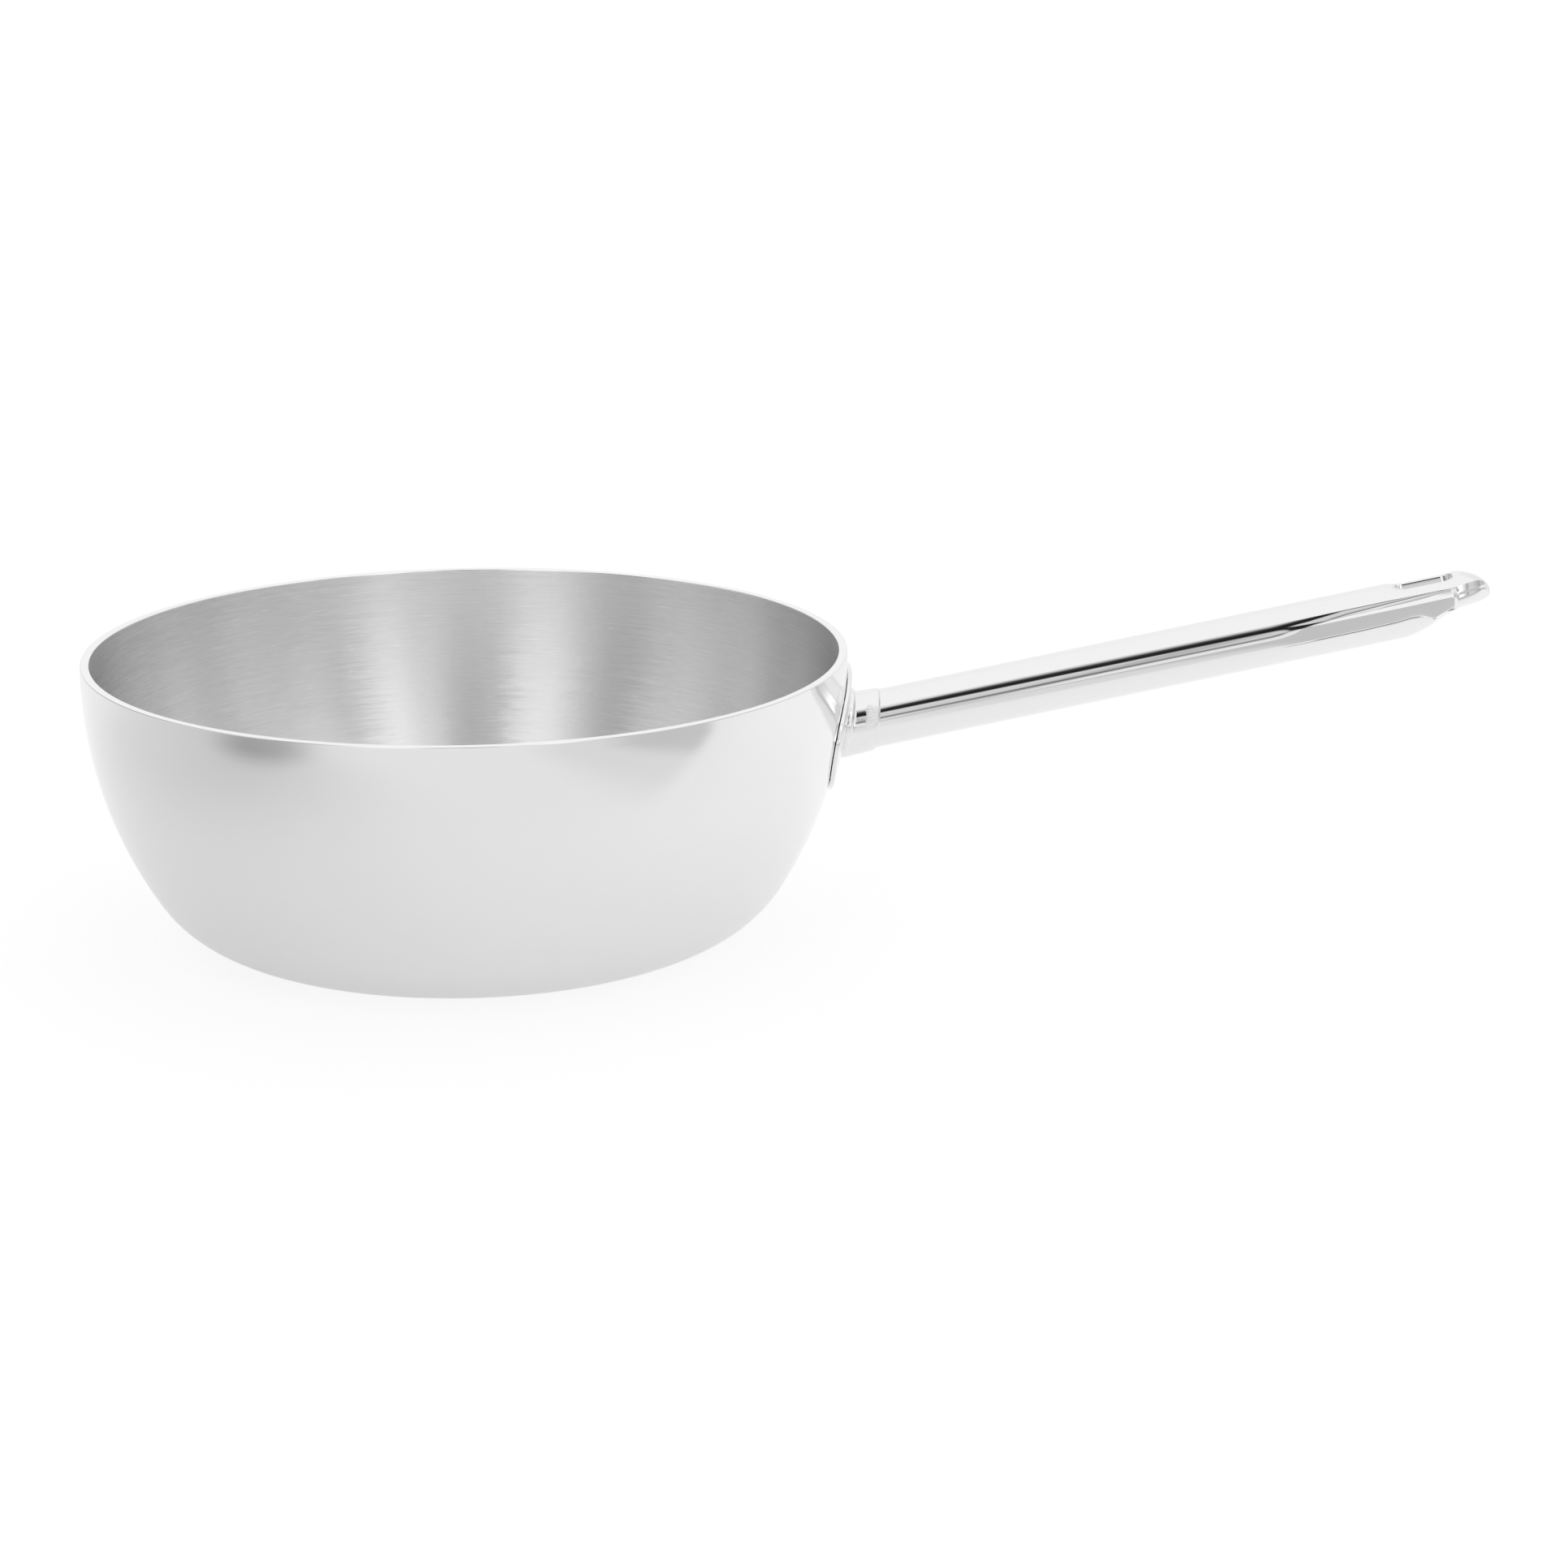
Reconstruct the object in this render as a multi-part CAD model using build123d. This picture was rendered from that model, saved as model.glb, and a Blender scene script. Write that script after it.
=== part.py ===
from build123d import *
from math import asin, cos, degrees, radians, sin, sqrt
import os

# Saucier pan with a long tubular handle. Millimetres, +Z up.
# The origin is the centre of the flat base on the table, and the handle runs towards +X.

# Bowl: the outline of its outer side
bowl_height = 91.9
rim_outer_radius = 122.8
base_corner_radius = 34.6
wall_curve_radius = 133.4
base_corner_sweep = 58.0  # degrees of corner between the flat base and the wall

# Bowl: three bonded sheets
shell_thickness = 0.5
core_thickness = 1.8
liner_thickness = 0.5
rim_seal_depth = 0.8  # the skins close over the core at the rim
rim_inner_round = 0.4
rim_outer_round = 0.3

# Wall plate and its spot welds
plate_width = 62.0
plate_height = 41.0
plate_end_radius = 13.0  # of the two end arcs of its oval outline
plate_thickness = 1.3
plate_standoff = 0.2
plate_edge_round = 0.5
spot_weld_radius = 2.5
spot_weld_across = 18.0  # from the plate's middle to the outer welds
spot_weld_up = 10.5

# Neck: a disc flange against the plate, a cone, and a spigot inside the tube
handle_root_height = 64.1  # where the handle's centre line leaves the bowl's wall
handle_rise = 11.35  # degrees above level
disc_radius = 11.6
disc_thickness = 1.3
disc_edge_round = 0.5
disc_middle_up = 1.4  # the disc's middle, measured up the wall from the handle's root
disc_weld_gap = 0.2
disc_weld_radius = 8.5
neck_root_radius = 10.4
neck_end_radius = 9.95
neck_length = 11.6  # along the centre line, from the bowl's wall to the seam
neck_bore_radius = 5.5
seam_tilt = 15.0  # degrees between the seam and a square cut
seam_weld_width = 0.8
spigot_length = 14.0
spigot_clearance = 0.1

# Handle tube, pressed to a point at its free end
handle_length = 217.0  # along the centre line, from the bowl's wall to the tip
tube_radius = 9.3
tube_wall = 1.5
press_length = 75.0  # how far from the tip the sides begin to flatten
press_run = 30.0  # how long the flattening takes
crease_angle = 53.0  # degrees round from the top of the tube to the crease
pressed_side_lean = 12.0  # degrees that a pressed side leans in at the crease
nose_length = 14.5
tip_drop = 0.4  # the tip lies this far under the centre line
tip_flat = 0.3  # the point is ground off by this much
nose_fill = 7.0  # the closed end is solid for this length
scoop_start = 32.0  # how far from the tip the underside begins to rise
scoop_length = 23.5
scoop_rise = 6.3

# Hanging slot
slot_from_tip = 21.4
slot_rim_length = 24.6
slot_rim_width = 12.2
slot_hole_length = 18.0
slot_hole_width = 5.6
slot_rim_round = 1.8

cut_overrun = 4.0

# Bowl outline, worked out from its sizes
corner_sweep = radians(base_corner_sweep)
arc_shift = wall_curve_radius - base_corner_radius
wall_centre_height = base_corner_radius + arc_shift * cos(corner_sweep)
wall_centre_radius = rim_outer_radius - sqrt(wall_curve_radius**2 - (bowl_height - wall_centre_height) ** 2)
base_flat_radius = wall_centre_radius + arc_shift * sin(corner_sweep)
core_inset = shell_thickness + core_thickness
bowl_wall = core_inset + liner_thickness


def wall_radius_at(height, inset=0.0):
    """Radius at a height of the wall surface that lies inset from the outer side."""
    reach = wall_curve_radius - inset
    return wall_centre_radius + sqrt(reach**2 - (height - wall_centre_height) ** 2)


def bowl_line(inset, top):
    """Flat base, corner and wall of the surface that lies inset from the outer side."""
    corner = base_corner_radius - inset

    def on_corner(angle):
        return base_flat_radius + corner * sin(angle), base_corner_radius - corner * cos(angle)

    foot = on_corner(corner_sweep)
    middle = (foot[1] + top) / 2
    return [
        Line((0, inset), on_corner(0)),
        ThreePointArc(on_corner(0), on_corner(corner_sweep / 2), foot),
        ThreePointArc(foot, (wall_radius_at(middle, inset), middle), (wall_radius_at(top, inset), top)),
    ]


def sheet_section(outer_inset, inner_inset, top):
    """Half section of one sheet of the bowl, from its middle to its top edge."""
    outer = bowl_line(outer_inset, top)
    inner = bowl_line(inner_inset, top)
    top_edge = Line(outer[-1] @ 1, inner[-1] @ 1)
    middle = Line(inner[0] @ 0, outer[0] @ 0)
    return make_face(outer + [top_edge] + inner + [middle])


def turned(section):
    """Turn a half section into a full round."""
    return revolve(Plane.XZ * section, Axis.Z)


def rounded_at_rim(section, inset, radius):
    """Round the corner of a section where a surface of the bowl meets the rim."""
    corner = (wall_radius_at(bowl_height, inset), bowl_height)
    return fillet(section.vertices().sort_by_distance(corner)[0], radius)


def make_outer_shell():
    section = sheet_section(0, shell_thickness, bowl_height)
    return turned(rounded_at_rim(section, 0, rim_outer_round))


def make_heat_core():
    return turned(sheet_section(shell_thickness, core_inset, bowl_height - rim_seal_depth))


def make_inner_liner():
    section = sheet_section(shell_thickness, bowl_wall, bowl_height)
    section -= sheet_section(shell_thickness, core_inset, bowl_height - rim_seal_depth)
    return turned(rounded_at_rim(section, bowl_wall, rim_inner_round))


# Frames at the handle's root: local X points up and local Z points out of the wall
rise = radians(handle_rise)
wall_lean = asin((wall_centre_height - handle_root_height) / wall_curve_radius)
root = Vector(wall_radius_at(handle_root_height), 0, handle_root_height)


def outward_frame(origin, elevation):
    return Plane(
        origin=origin,
        x_dir=(-sin(elevation), 0, cos(elevation)),
        z_dir=(cos(elevation), 0, sin(elevation)),
    )


wall_frame = outward_frame(root, -wall_lean)
handle_frame = outward_frame(root, rise)
seam_frame = outward_frame(handle_frame.from_local_coords((0, 0, neck_length)), rise - radians(seam_tilt))
base_aligned = (Align.CENTER, Align.CENTER, Align.MIN)


def standing_off(standoff):
    """Section line that stands off the wall, from well below the handle's root to well above it."""
    heights = (handle_root_height - plate_height, handle_root_height, handle_root_height + plate_height)
    return ThreePointArc(*[(wall_radius_at(height, -standoff), height) for height in heights])


def wall_band(inner_standoff, outer_standoff):
    """A piece of sheet that follows the wall round the handle's root."""
    inner, outer = standing_off(inner_standoff), standing_off(outer_standoff)
    ends = [Line(inner @ 0, outer @ 0), Line(inner @ 1, outer @ 1)]
    spread = degrees(asin(plate_width / root.X))
    band = revolve(Plane.XZ * make_face([inner, outer] + ends), Axis.Z, 2 * spread)
    return Rot(0, 0, -spread) * band


def inside_of_wall(standoff):
    """All that lies within a surface that stands off the wall, at the handle's height."""
    side = standing_off(standoff)
    low, high = side @ 0, side @ 1
    ends = [Line(high, (0, high.Y)), Line((0, high.Y), (0, low.Y)), Line((0, low.Y), low)]
    return turned(make_face([side] + ends))


def through_wall(outline):
    """Push an outline that is drawn flat on the wall through the plate and its welds."""
    return extrude(wall_frame * outline, plate_width / 2, both=True)


plate_front = plate_standoff + plate_thickness
disc_back = plate_front + disc_weld_gap
disc_front = disc_back + disc_thickness
spigot_radius = tube_radius - tube_wall - spigot_clearance


def with_round_front(piece, radius):
    """Round the edge of the face that looks furthest out from the wall."""
    front = piece.faces().sort_by(Axis(wall_frame.origin, wall_frame.z_dir))[-1]
    return fillet(front.edges(), radius)


def oval(half_up, half_across, end_radius):
    """A smooth oval of two wide arcs and two end arcs, drawn up and across."""
    end_centre = half_across - end_radius
    wide_radius = (end_centre**2 + half_up**2 - end_radius**2) / (2 * (half_up - end_radius))
    join_share = wide_radius / (wide_radius - end_radius)
    join_up = (wide_radius - half_up) * (join_share - 1)
    join_across = end_centre * join_share
    return make_face([
        ThreePointArc((join_up, -join_across), (half_up, 0), (join_up, join_across)),
        ThreePointArc((join_up, join_across), (0, half_across), (-join_up, join_across)),
        ThreePointArc((-join_up, join_across), (-half_up, 0), (-join_up, -join_across)),
        ThreePointArc((-join_up, -join_across), (0, -half_across), (join_up, -join_across)),
    ])


def make_wall_plate():
    outline = oval(plate_height / 2, plate_width / 2, plate_end_radius)
    plate = wall_band(plate_standoff, plate_front) & through_wall(outline)
    return with_round_front(plate, plate_edge_round)


def make_plate_spot_welds():
    nuggets = Sketch() + [
        Pos(up, across) * Circle(spot_weld_radius)
        for up in (-spot_weld_up, spot_weld_up)
        for across in (-spot_weld_across, 0, spot_weld_across)
    ]
    return wall_band(0, plate_standoff) & through_wall(nuggets)


def make_disc_weld():
    return wall_band(plate_front, disc_back) & through_wall(Pos(disc_middle_up, 0) * Circle(disc_weld_radius))


def rod(radius, start, end):
    """A round bar on the handle's centre line, between two distances from the wall."""
    return handle_frame.location * Pos(0, 0, start) * Cylinder(radius, end - start, align=base_aligned)


def make_neck():
    disc = wall_band(disc_back, disc_front) & through_wall(Pos(disc_middle_up, 0) * Circle(disc_radius))
    disc = with_round_front(disc, disc_edge_round)

    overlap = neck_root_radius / 2
    taper = (neck_root_radius - neck_end_radius) / neck_length * overlap
    cone = Cone(
        neck_root_radius + taper, neck_end_radius - taper, neck_length + 2 * overlap, align=base_aligned
    )
    cone = handle_frame.location * Pos(0, 0, -overlap) * cone
    cone = split(cone, seam_frame, Keep.BOTTOM) - inside_of_wall(disc_front - disc_thickness / 2)
    neck = disc + cone

    spigot_end = neck_length + spigot_length
    neck += rod(spigot_radius, neck_length - disc_thickness, spigot_end)
    return neck - rod(neck_bore_radius, disc_front + disc_thickness, spigot_end + cut_overrun)


def make_neck_seam_weld():
    weld_radius = (neck_end_radius + tube_radius) / 2
    weld = rod(weld_radius, 0, neck_length + spigot_length)
    weld = split(weld, seam_frame, Keep.TOP)
    weld = split(weld, seam_frame.offset(seam_weld_width), Keep.BOTTOM)
    return weld - rod(spigot_radius, 0, neck_length + spigot_length)


# The pressed end of the tube: every cross-section has a crown, two sides and a belly, all arcs.
# Distances here run from the tip back along the tube, and heights from its centre line.
crease = radians(crease_angle)
crease_half_width = tube_radius * sin(crease)
belly_run = scoop_start - scoop_length


def arc_drop(distance, run, fall):
    """Fall of an arc that starts level and drops by fall over run, at a distance from its start."""
    radius = (run**2 + fall**2) / (2 * fall)
    return radius - sqrt(radius**2 - distance**2)


def crown_height(from_tip):
    if from_tip >= nose_length:
        return tube_radius
    return tube_radius - arc_drop(nose_length - from_tip, nose_length, tube_radius + tip_drop)


def half_width(from_tip):
    if from_tip >= nose_length:
        return crease_half_width
    return crease_half_width - arc_drop(nose_length - from_tip, nose_length, crease_half_width)


def belly_height(from_tip):
    """The underside rises in an ogee of two equal arcs, and then rounds up to the tip."""
    scooped = scoop_start - from_tip
    if scooped <= 0:
        return -tube_radius
    if scooped <= scoop_length / 2:
        return -tube_radius + arc_drop(scooped, scoop_length / 2, scoop_rise / 2)
    if scooped <= scoop_length:
        return -tube_radius + scoop_rise - arc_drop(scoop_length - scooped, scoop_length / 2, scoop_rise / 2)
    raised = -tube_radius + scoop_rise
    return raised + arc_drop(belly_run - from_tip, belly_run, -tip_drop - raised)


def side_lean(from_tip):
    """The sides go from the round tube's lean to the pressed lean, smoothly."""
    done = min(max((press_length - from_tip) / press_run, 0), 1)
    eased = done**2 * (3 - 2 * done)
    return radians((90 - crease_angle) * (1 - eased) + pressed_side_lean * eased)


def handle_section(from_tip, inset=0.0):
    """Cross-section of the tube at a distance from its tip, drawn up and across."""
    crown_radius = tube_radius - inset
    top = crown_height(from_tip) - inset
    bottom = belly_height(from_tip) + inset
    across = half_width(from_tip) - inset * sin(crease)
    lean = side_lean(from_tip)
    crease_height = top - arc_sag(crown_radius, across)
    shoulder_height = bottom + across * (1 - sin(lean)) / cos(lean)
    side_radius = (crease_height - shoulder_height) / (2 * sin(lean))
    bulge = across + side_radius * (1 - cos(lean))
    middle = (crease_height + shoulder_height) / 2
    outline = [ThreePointArc((crease_height, -across), (top, 0), (crease_height, across))]
    outline += [ThreePointArc((crease_height, across), (middle, bulge), (shoulder_height, across))]
    outline += [ThreePointArc((shoulder_height, across), (bottom, 0), (shoulder_height, -across))]
    outline += [ThreePointArc((shoulder_height, -across), (middle, -bulge), (crease_height, -across))]
    return handle_frame.offset(handle_length - from_tip) * make_face(outline)


def arc_sag(radius, half_chord):
    return radius - sqrt(radius**2 - half_chord**2)


def pressed_stations(end):
    """Distances from the tip of the sections: the flattening, then the scoop, then the nose."""
    flattening_shares = (1, 0.8, 0.6, 0.4, 0.2)
    scoop_shares = (1, 0.75, 0.5, 0.25)
    nose_shares = (1, 0.72, 0.46, 0.24, 0.1, 0)
    flattened = press_length - press_run
    stations = [flattened + press_run * share for share in flattening_shares]
    stations += [nose_length + (flattened - nose_length) * share for share in scoop_shares]
    stations += [end + (nose_length - end) * share for share in nose_shares]
    return stations


def pressed_end(end, inset=0.0):
    return loft([handle_section(from_tip, inset) for from_tip in pressed_stations(end)])


def handle_outside():
    """The tube as a full body: a straight round stretch and the pressed end."""
    straight = rod(tube_radius, 0, handle_length - press_length)
    straight = split(straight, seam_frame.offset(seam_weld_width), Keep.TOP)
    return straight + pressed_end(tip_flat)


# Slot frame: local X runs along the handle and local Z points up through it
slot_frame = Plane(
    origin=handle_frame.from_local_coords((0, 0, handle_length - slot_from_tip)),
    x_dir=handle_frame.z_dir,
    z_dir=handle_frame.x_dir,
)


def slot_prism(length, width):
    return extrude(slot_frame * SlotOverall(length, width), tube_radius + cut_overrun, both=True)


def make_handle_tube(outside):
    hollow = rod(tube_radius - tube_wall, 0, handle_length - press_length) + pressed_end(nose_fill, tube_wall)
    return outside - hollow - slot_prism(slot_rim_length, slot_rim_width)


def make_hang_eyelet(outside):
    eyelet = (outside & slot_prism(slot_rim_length, slot_rim_width)) - slot_prism(slot_hole_length, slot_hole_width)
    faces = eyelet.faces().sort_by(Axis(slot_frame.origin, slot_frame.z_dir))
    mouths = faces[-1].inner_wires().edges() + faces[0].inner_wires().edges()
    return fillet(mouths, slot_rim_round)


handle_body = handle_outside()
pieces = {
    "outer_shell": make_outer_shell(),
    "heat_core": make_heat_core(),
    "inner_liner": make_inner_liner(),
    "wall_plate": make_wall_plate(),
    "plate_spot_welds": make_plate_spot_welds(),
    "disc_weld": make_disc_weld(),
    "neck": make_neck(),
    "neck_seam_weld": make_neck_seam_weld(),
    "handle_tube": make_handle_tube(handle_body),
    "hang_eyelet": make_hang_eyelet(handle_body),
}

os.makedirs("parts", exist_ok=True)
for name, piece in pieces.items():
    export_step(piece, f"parts/{name}.step")
    print(f"{name:18s} {len(piece.solids())} solids {piece.volume:10.1f} mm3 valid {piece.is_valid}")
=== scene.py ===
# %% [markdown]
# A stainless saucier pan
#
# The pan has a round-bottomed bowl of bonded sheets with a sealed rim, and a mirror-polished tube for a
# handle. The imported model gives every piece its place. Here each piece that shows is modelled again with
# smooth, even faces, because a polished surface shows each flat face of a coarse mesh as a broken reflection.
# All sizes are in metres, and the origin is the middle of the flat base, on the table.

# %% The frame and the tools
from math import acos, asin, atan2, cos, degrees, pi, radians, sin, sqrt, tan

import bmesh
import bpy
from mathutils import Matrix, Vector


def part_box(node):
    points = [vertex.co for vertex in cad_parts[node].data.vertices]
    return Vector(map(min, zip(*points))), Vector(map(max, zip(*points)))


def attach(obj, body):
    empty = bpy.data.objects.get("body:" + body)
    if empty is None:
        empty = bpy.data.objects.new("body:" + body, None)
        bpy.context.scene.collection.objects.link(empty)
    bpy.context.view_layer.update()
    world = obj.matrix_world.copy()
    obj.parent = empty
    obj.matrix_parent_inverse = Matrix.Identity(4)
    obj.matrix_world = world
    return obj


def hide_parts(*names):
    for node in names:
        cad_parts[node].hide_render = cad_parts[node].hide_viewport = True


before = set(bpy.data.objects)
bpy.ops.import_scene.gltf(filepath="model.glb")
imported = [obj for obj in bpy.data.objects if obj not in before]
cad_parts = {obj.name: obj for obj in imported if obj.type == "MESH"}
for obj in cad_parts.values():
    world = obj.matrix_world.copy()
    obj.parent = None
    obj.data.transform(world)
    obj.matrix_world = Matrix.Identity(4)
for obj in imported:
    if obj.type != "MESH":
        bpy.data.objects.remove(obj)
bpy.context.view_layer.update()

mm = 0.001
print("nodes in the frame:", sorted(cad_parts))

# %% [markdown]
# The camera comes first. A photographer stands about a metre away, a little above the rim, and turns slightly
# to the right so that the long handle fits in the frame. The lens is a short telephoto one, which keeps the
# round rim from looking stretched. The turn and the tilt are all it needs, so there is no shift and no roll.

# %% The camera
camera_place = (0.0466, -1.0663, 0.3478)
camera_tilt_down = radians(15.85)
camera_turn_right = radians(3.0)
camera_lens = 77.59
sensor_size = 36.0

bpy.ops.object.camera_add(
    location=camera_place,
    rotation=(pi / 2 - camera_tilt_down, 0, -camera_turn_right),
)
camera = bpy.context.object
camera.name = "camera"
camera.data.lens = camera_lens
camera.data.sensor_width = sensor_size
camera.data.sensor_fit = "HORIZONTAL"
bpy.context.scene.camera = camera
print("camera looks down by", round(degrees(camera_tilt_down), 2), "degrees")

# %% [markdown]
# Two helpers make nearly every shape. The first lets go of whatever is selected, because an operator works
# on all that is selected. The second skins a row of rings: it starts from a circle, extrudes it, and sets
# the new ring down where it belongs, as one does by hand with extrude and scale. Each vertex carries its
# number in the ring, which the extrusion copies, so every ring keeps its order and the side faces stay
# square. Without the circle's closing edge, the same steps make an open strip.

# %% Helpers for modelling
first_circle_radius = 10 * mm
doubles_under = 0.001 * mm


def let_go():
    if bpy.context.object and bpy.context.object.mode != "OBJECT":
        bpy.ops.object.mode_set(mode="OBJECT")
    bpy.ops.object.select_all(action="DESELECT")


def new_circle(name, count):
    """A piece that starts as a circle of edges and is open in edit mode."""
    let_go()
    bpy.ops.mesh.primitive_circle_add(vertices=count, radius=first_circle_radius, fill_type="NOTHING")
    piece = bpy.context.object
    piece.name = name
    piece.data.name = name
    bpy.ops.object.mode_set(mode="EDIT")
    return piece


def close_up(smooth_under):
    """Merge the new piece's doubles, turn its faces outwards and shade it smooth up to an angle."""
    bpy.ops.object.mode_set(mode="EDIT")
    bpy.ops.mesh.select_all(action="SELECT")
    bpy.ops.mesh.remove_doubles(threshold=doubles_under)
    bpy.ops.mesh.delete_loose(use_verts=True, use_edges=True, use_faces=False)
    bpy.ops.mesh.select_all(action="SELECT")
    bpy.ops.mesh.normals_make_consistent(inside=False)
    bpy.ops.object.mode_set(mode="OBJECT")
    bpy.ops.object.shade_smooth_by_angle(angle=smooth_under)


def skin_rings(name, rings, closed=True):
    """A skin through rings that all have the same number of points, or through open rows of them."""
    piece = new_circle(name, len(rings[0]))
    mesh = bmesh.from_edit_mesh(piece.data)
    number = mesh.verts.layers.int.new("number")
    for index, vertex in enumerate(mesh.verts):
        vertex[number] = index
        vertex.co = rings[0][index]
    if not closed:
        ends = {0, len(rings[0]) - 1}
        closing = [edge for edge in mesh.edges if {vertex[number] for vertex in edge.verts} == ends]
        bmesh.ops.delete(mesh, geom=closing, context="EDGES")
    bmesh.update_edit_mesh(piece.data)
    for ring in rings[1:]:
        bpy.ops.mesh.extrude_edges_move()
        mesh = bmesh.from_edit_mesh(piece.data)
        number = mesh.verts.layers.int["number"]
        for vertex in mesh.verts:
            if vertex.select:
                vertex.co = ring[vertex[number]]
        bmesh.update_edit_mesh(piece.data)
    bpy.ops.object.mode_set(mode="OBJECT")
    return piece


def report_piece(piece):
    size = [round(value / mm, 1) for value in piece.dimensions]
    print(f"{piece.name}: {len(piece.data.polygons)} faces, {size} mm")


# %% [markdown]
# The bowl is pressed from three bonded sheets, and only its outer and inner skins show. Its outline is a
# flat base, a round corner and a wide wall arc. A lathe-like spin fits it best: the section is drawn once as
# a loop of points and turned about the axis. Tight extra points beside each rounded edge keep the flat rim
# flat in the shading, so that it shines as one clean ring.

# %% The bowl's sizes
bowl_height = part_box("outer_shell")[1].z
rim_outer_radius = 122.8 * mm
base_corner_radius = 34.6 * mm
wall_curve_radius = 133.4 * mm
corner_sweep = radians(58)
skin_thickness = 0.5 * mm
core_inset = 2.3 * mm
bowl_wall = 2.8 * mm
rim_seal_depth = 0.8 * mm
rim_inner_round = 0.4 * mm
rim_outer_round = 0.3 * mm
edge_support = 0.04 * mm
turn_steps = 320
base_steps, corner_steps, wall_steps, edge_steps = 8, 22, 30, 5

arc_shift = wall_curve_radius - base_corner_radius
wall_centre_height = base_corner_radius + arc_shift * cos(corner_sweep)
wall_run = sqrt(wall_curve_radius**2 - (bowl_height - wall_centre_height) ** 2)
wall_centre_radius = rim_outer_radius - wall_run
base_flat_radius = wall_centre_radius + arc_shift * sin(corner_sweep)
print("flat base is", round(2 * base_flat_radius / mm, 1), "mm across")


# %% The bowl's sections
def wall_radius_at(height, inset=0.0):
    """Radius at a height of the wall surface that lies inset from the outer side."""
    reach = wall_curve_radius - inset
    return wall_centre_radius + sqrt(reach**2 - (height - wall_centre_height) ** 2)


def steps(start, end, count):
    """Evenly spaced values from start to end, both included."""
    return [start + (end - start) * index / count for index in range(count + 1)]


def full_turn(count):
    """Evenly spaced angles once round, without the last one, which is the first again."""
    return steps(0, 2 * pi, count)[:-1]


def between(first, second, share):
    return first + (second - first) * share


def quarter_round(radius, count=edge_steps):
    """Points of a rounded edge, by how far each lies in from the side and down from the top."""
    turns = steps(0, pi / 2, count)
    return [(radius * (1 - cos(turn)), radius * (1 - sin(turn))) for turn in turns]


def bowl_line(inset, top):
    """Points of the surface that lies inset from the outer side, from the middle of the base to the top."""
    corner = base_corner_radius - inset
    reach = wall_curve_radius - inset
    top_angle = acos((wall_centre_height - top) / reach)
    line = [(radius, inset) for radius in steps(0, base_flat_radius, base_steps)[:-1]]
    line += [
        (base_flat_radius + corner * sin(angle), base_corner_radius - corner * cos(angle))
        for angle in steps(0, corner_sweep, corner_steps)
    ]
    line += [
        (wall_centre_radius + reach * sin(angle), wall_centre_height - reach * cos(angle))
        for angle in steps(corner_sweep, top_angle, wall_steps)[1:]
    ]
    return line


def rim_corner(line_end, inwards, radius):
    """Quarter round from the top of a wall over to the flat of the rim, with a support point at each end."""
    edge, top = line_end[0], bowl_height
    round_off = [(edge + inwards * inset, top - drop) for inset, drop in quarter_round(radius)]
    before = (edge, top - radius - edge_support)
    after = (edge + inwards * (radius + edge_support), top)
    return [before] + round_off + [after]


def turned_sheet(name, section):
    """Turn a closed section about the bowl's axis."""
    sheet = new_circle(name, len(section))
    mesh = bmesh.from_edit_mesh(sheet.data)
    for vertex, (radius, height) in zip(mesh.verts, section):
        vertex.co = (radius, 0, height)
    bmesh.update_edit_mesh(sheet.data)
    bpy.ops.mesh.spin(steps=turn_steps, angle=2 * pi, center=(0, 0, 0), axis=(0, 0, 1))
    bpy.ops.object.mode_set(mode="OBJECT")
    close_up(smooth_under=radians(40))
    return sheet


# %% The outer skin
outer_line = bowl_line(0, bowl_height - rim_outer_round)
skin_back = bowl_line(skin_thickness, bowl_height)
outer_section = outer_line[:-1] + rim_corner(outer_line[-1], -1, rim_outer_round) + skin_back[::-1]
bowl_outside = turned_sheet("bowl_outside", outer_section)
report_piece(bowl_outside)

# %% The inner skin
seal_bottom = bowl_height - rim_seal_depth
seal_top_radius = wall_radius_at(bowl_height, skin_thickness)
inner_line = bowl_line(bowl_wall, bowl_height - rim_inner_round)
liner_section = inner_line[:-1] + rim_corner(inner_line[-1], 1, rim_inner_round)
liner_section += [
    (seal_top_radius - edge_support, bowl_height),
    (seal_top_radius, bowl_height),
    (wall_radius_at(seal_bottom, skin_thickness), seal_bottom),
]
liner_section += bowl_line(core_inset, seal_bottom)[::-1]
bowl_inside = turned_sheet("bowl_inside", liner_section)
report_piece(bowl_inside)

# %% [markdown]
# The handle leaves the wall on a line that climbs by about eleven degrees. Two small frames are handy there:
# one that looks straight out of the wall, for the plate and the flange, and one along the handle's centre
# line. A point is then given by how far it lies up, across and out.

# %% The handle's frames
handle_root_height = 64.1 * mm
handle_rise = radians(11.35)
wall_lean = asin((wall_centre_height - handle_root_height) / wall_curve_radius)
root = Vector((wall_radius_at(handle_root_height), 0, handle_root_height))
search_reach = 20 * mm
search_halvings = 40


def outward_frame(elevation):
    """Directions up, across and out for something that points out of the wall at an elevation."""
    up = Vector((-sin(elevation), 0, cos(elevation)))
    across = Vector((0, 1, 0))
    out = Vector((cos(elevation), 0, sin(elevation)))
    return up, across, out


wall_up, wall_across, wall_out = outward_frame(-wall_lean)
along_up, along_across, along_out = outward_frame(handle_rise)


def beside_handle(along, up, across):
    """A point by its distance along the handle's centre line from the wall, and its offset from that line."""
    return root + along_out * along + along_up * up + along_across * across


def wall_distance(point):
    """How far a point stands off the bowl's outer wall."""
    run = sqrt(point.x**2 + point.y**2) - wall_centre_radius
    return sqrt(run**2 + (point.z - wall_centre_height) ** 2) - wall_curve_radius


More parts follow.
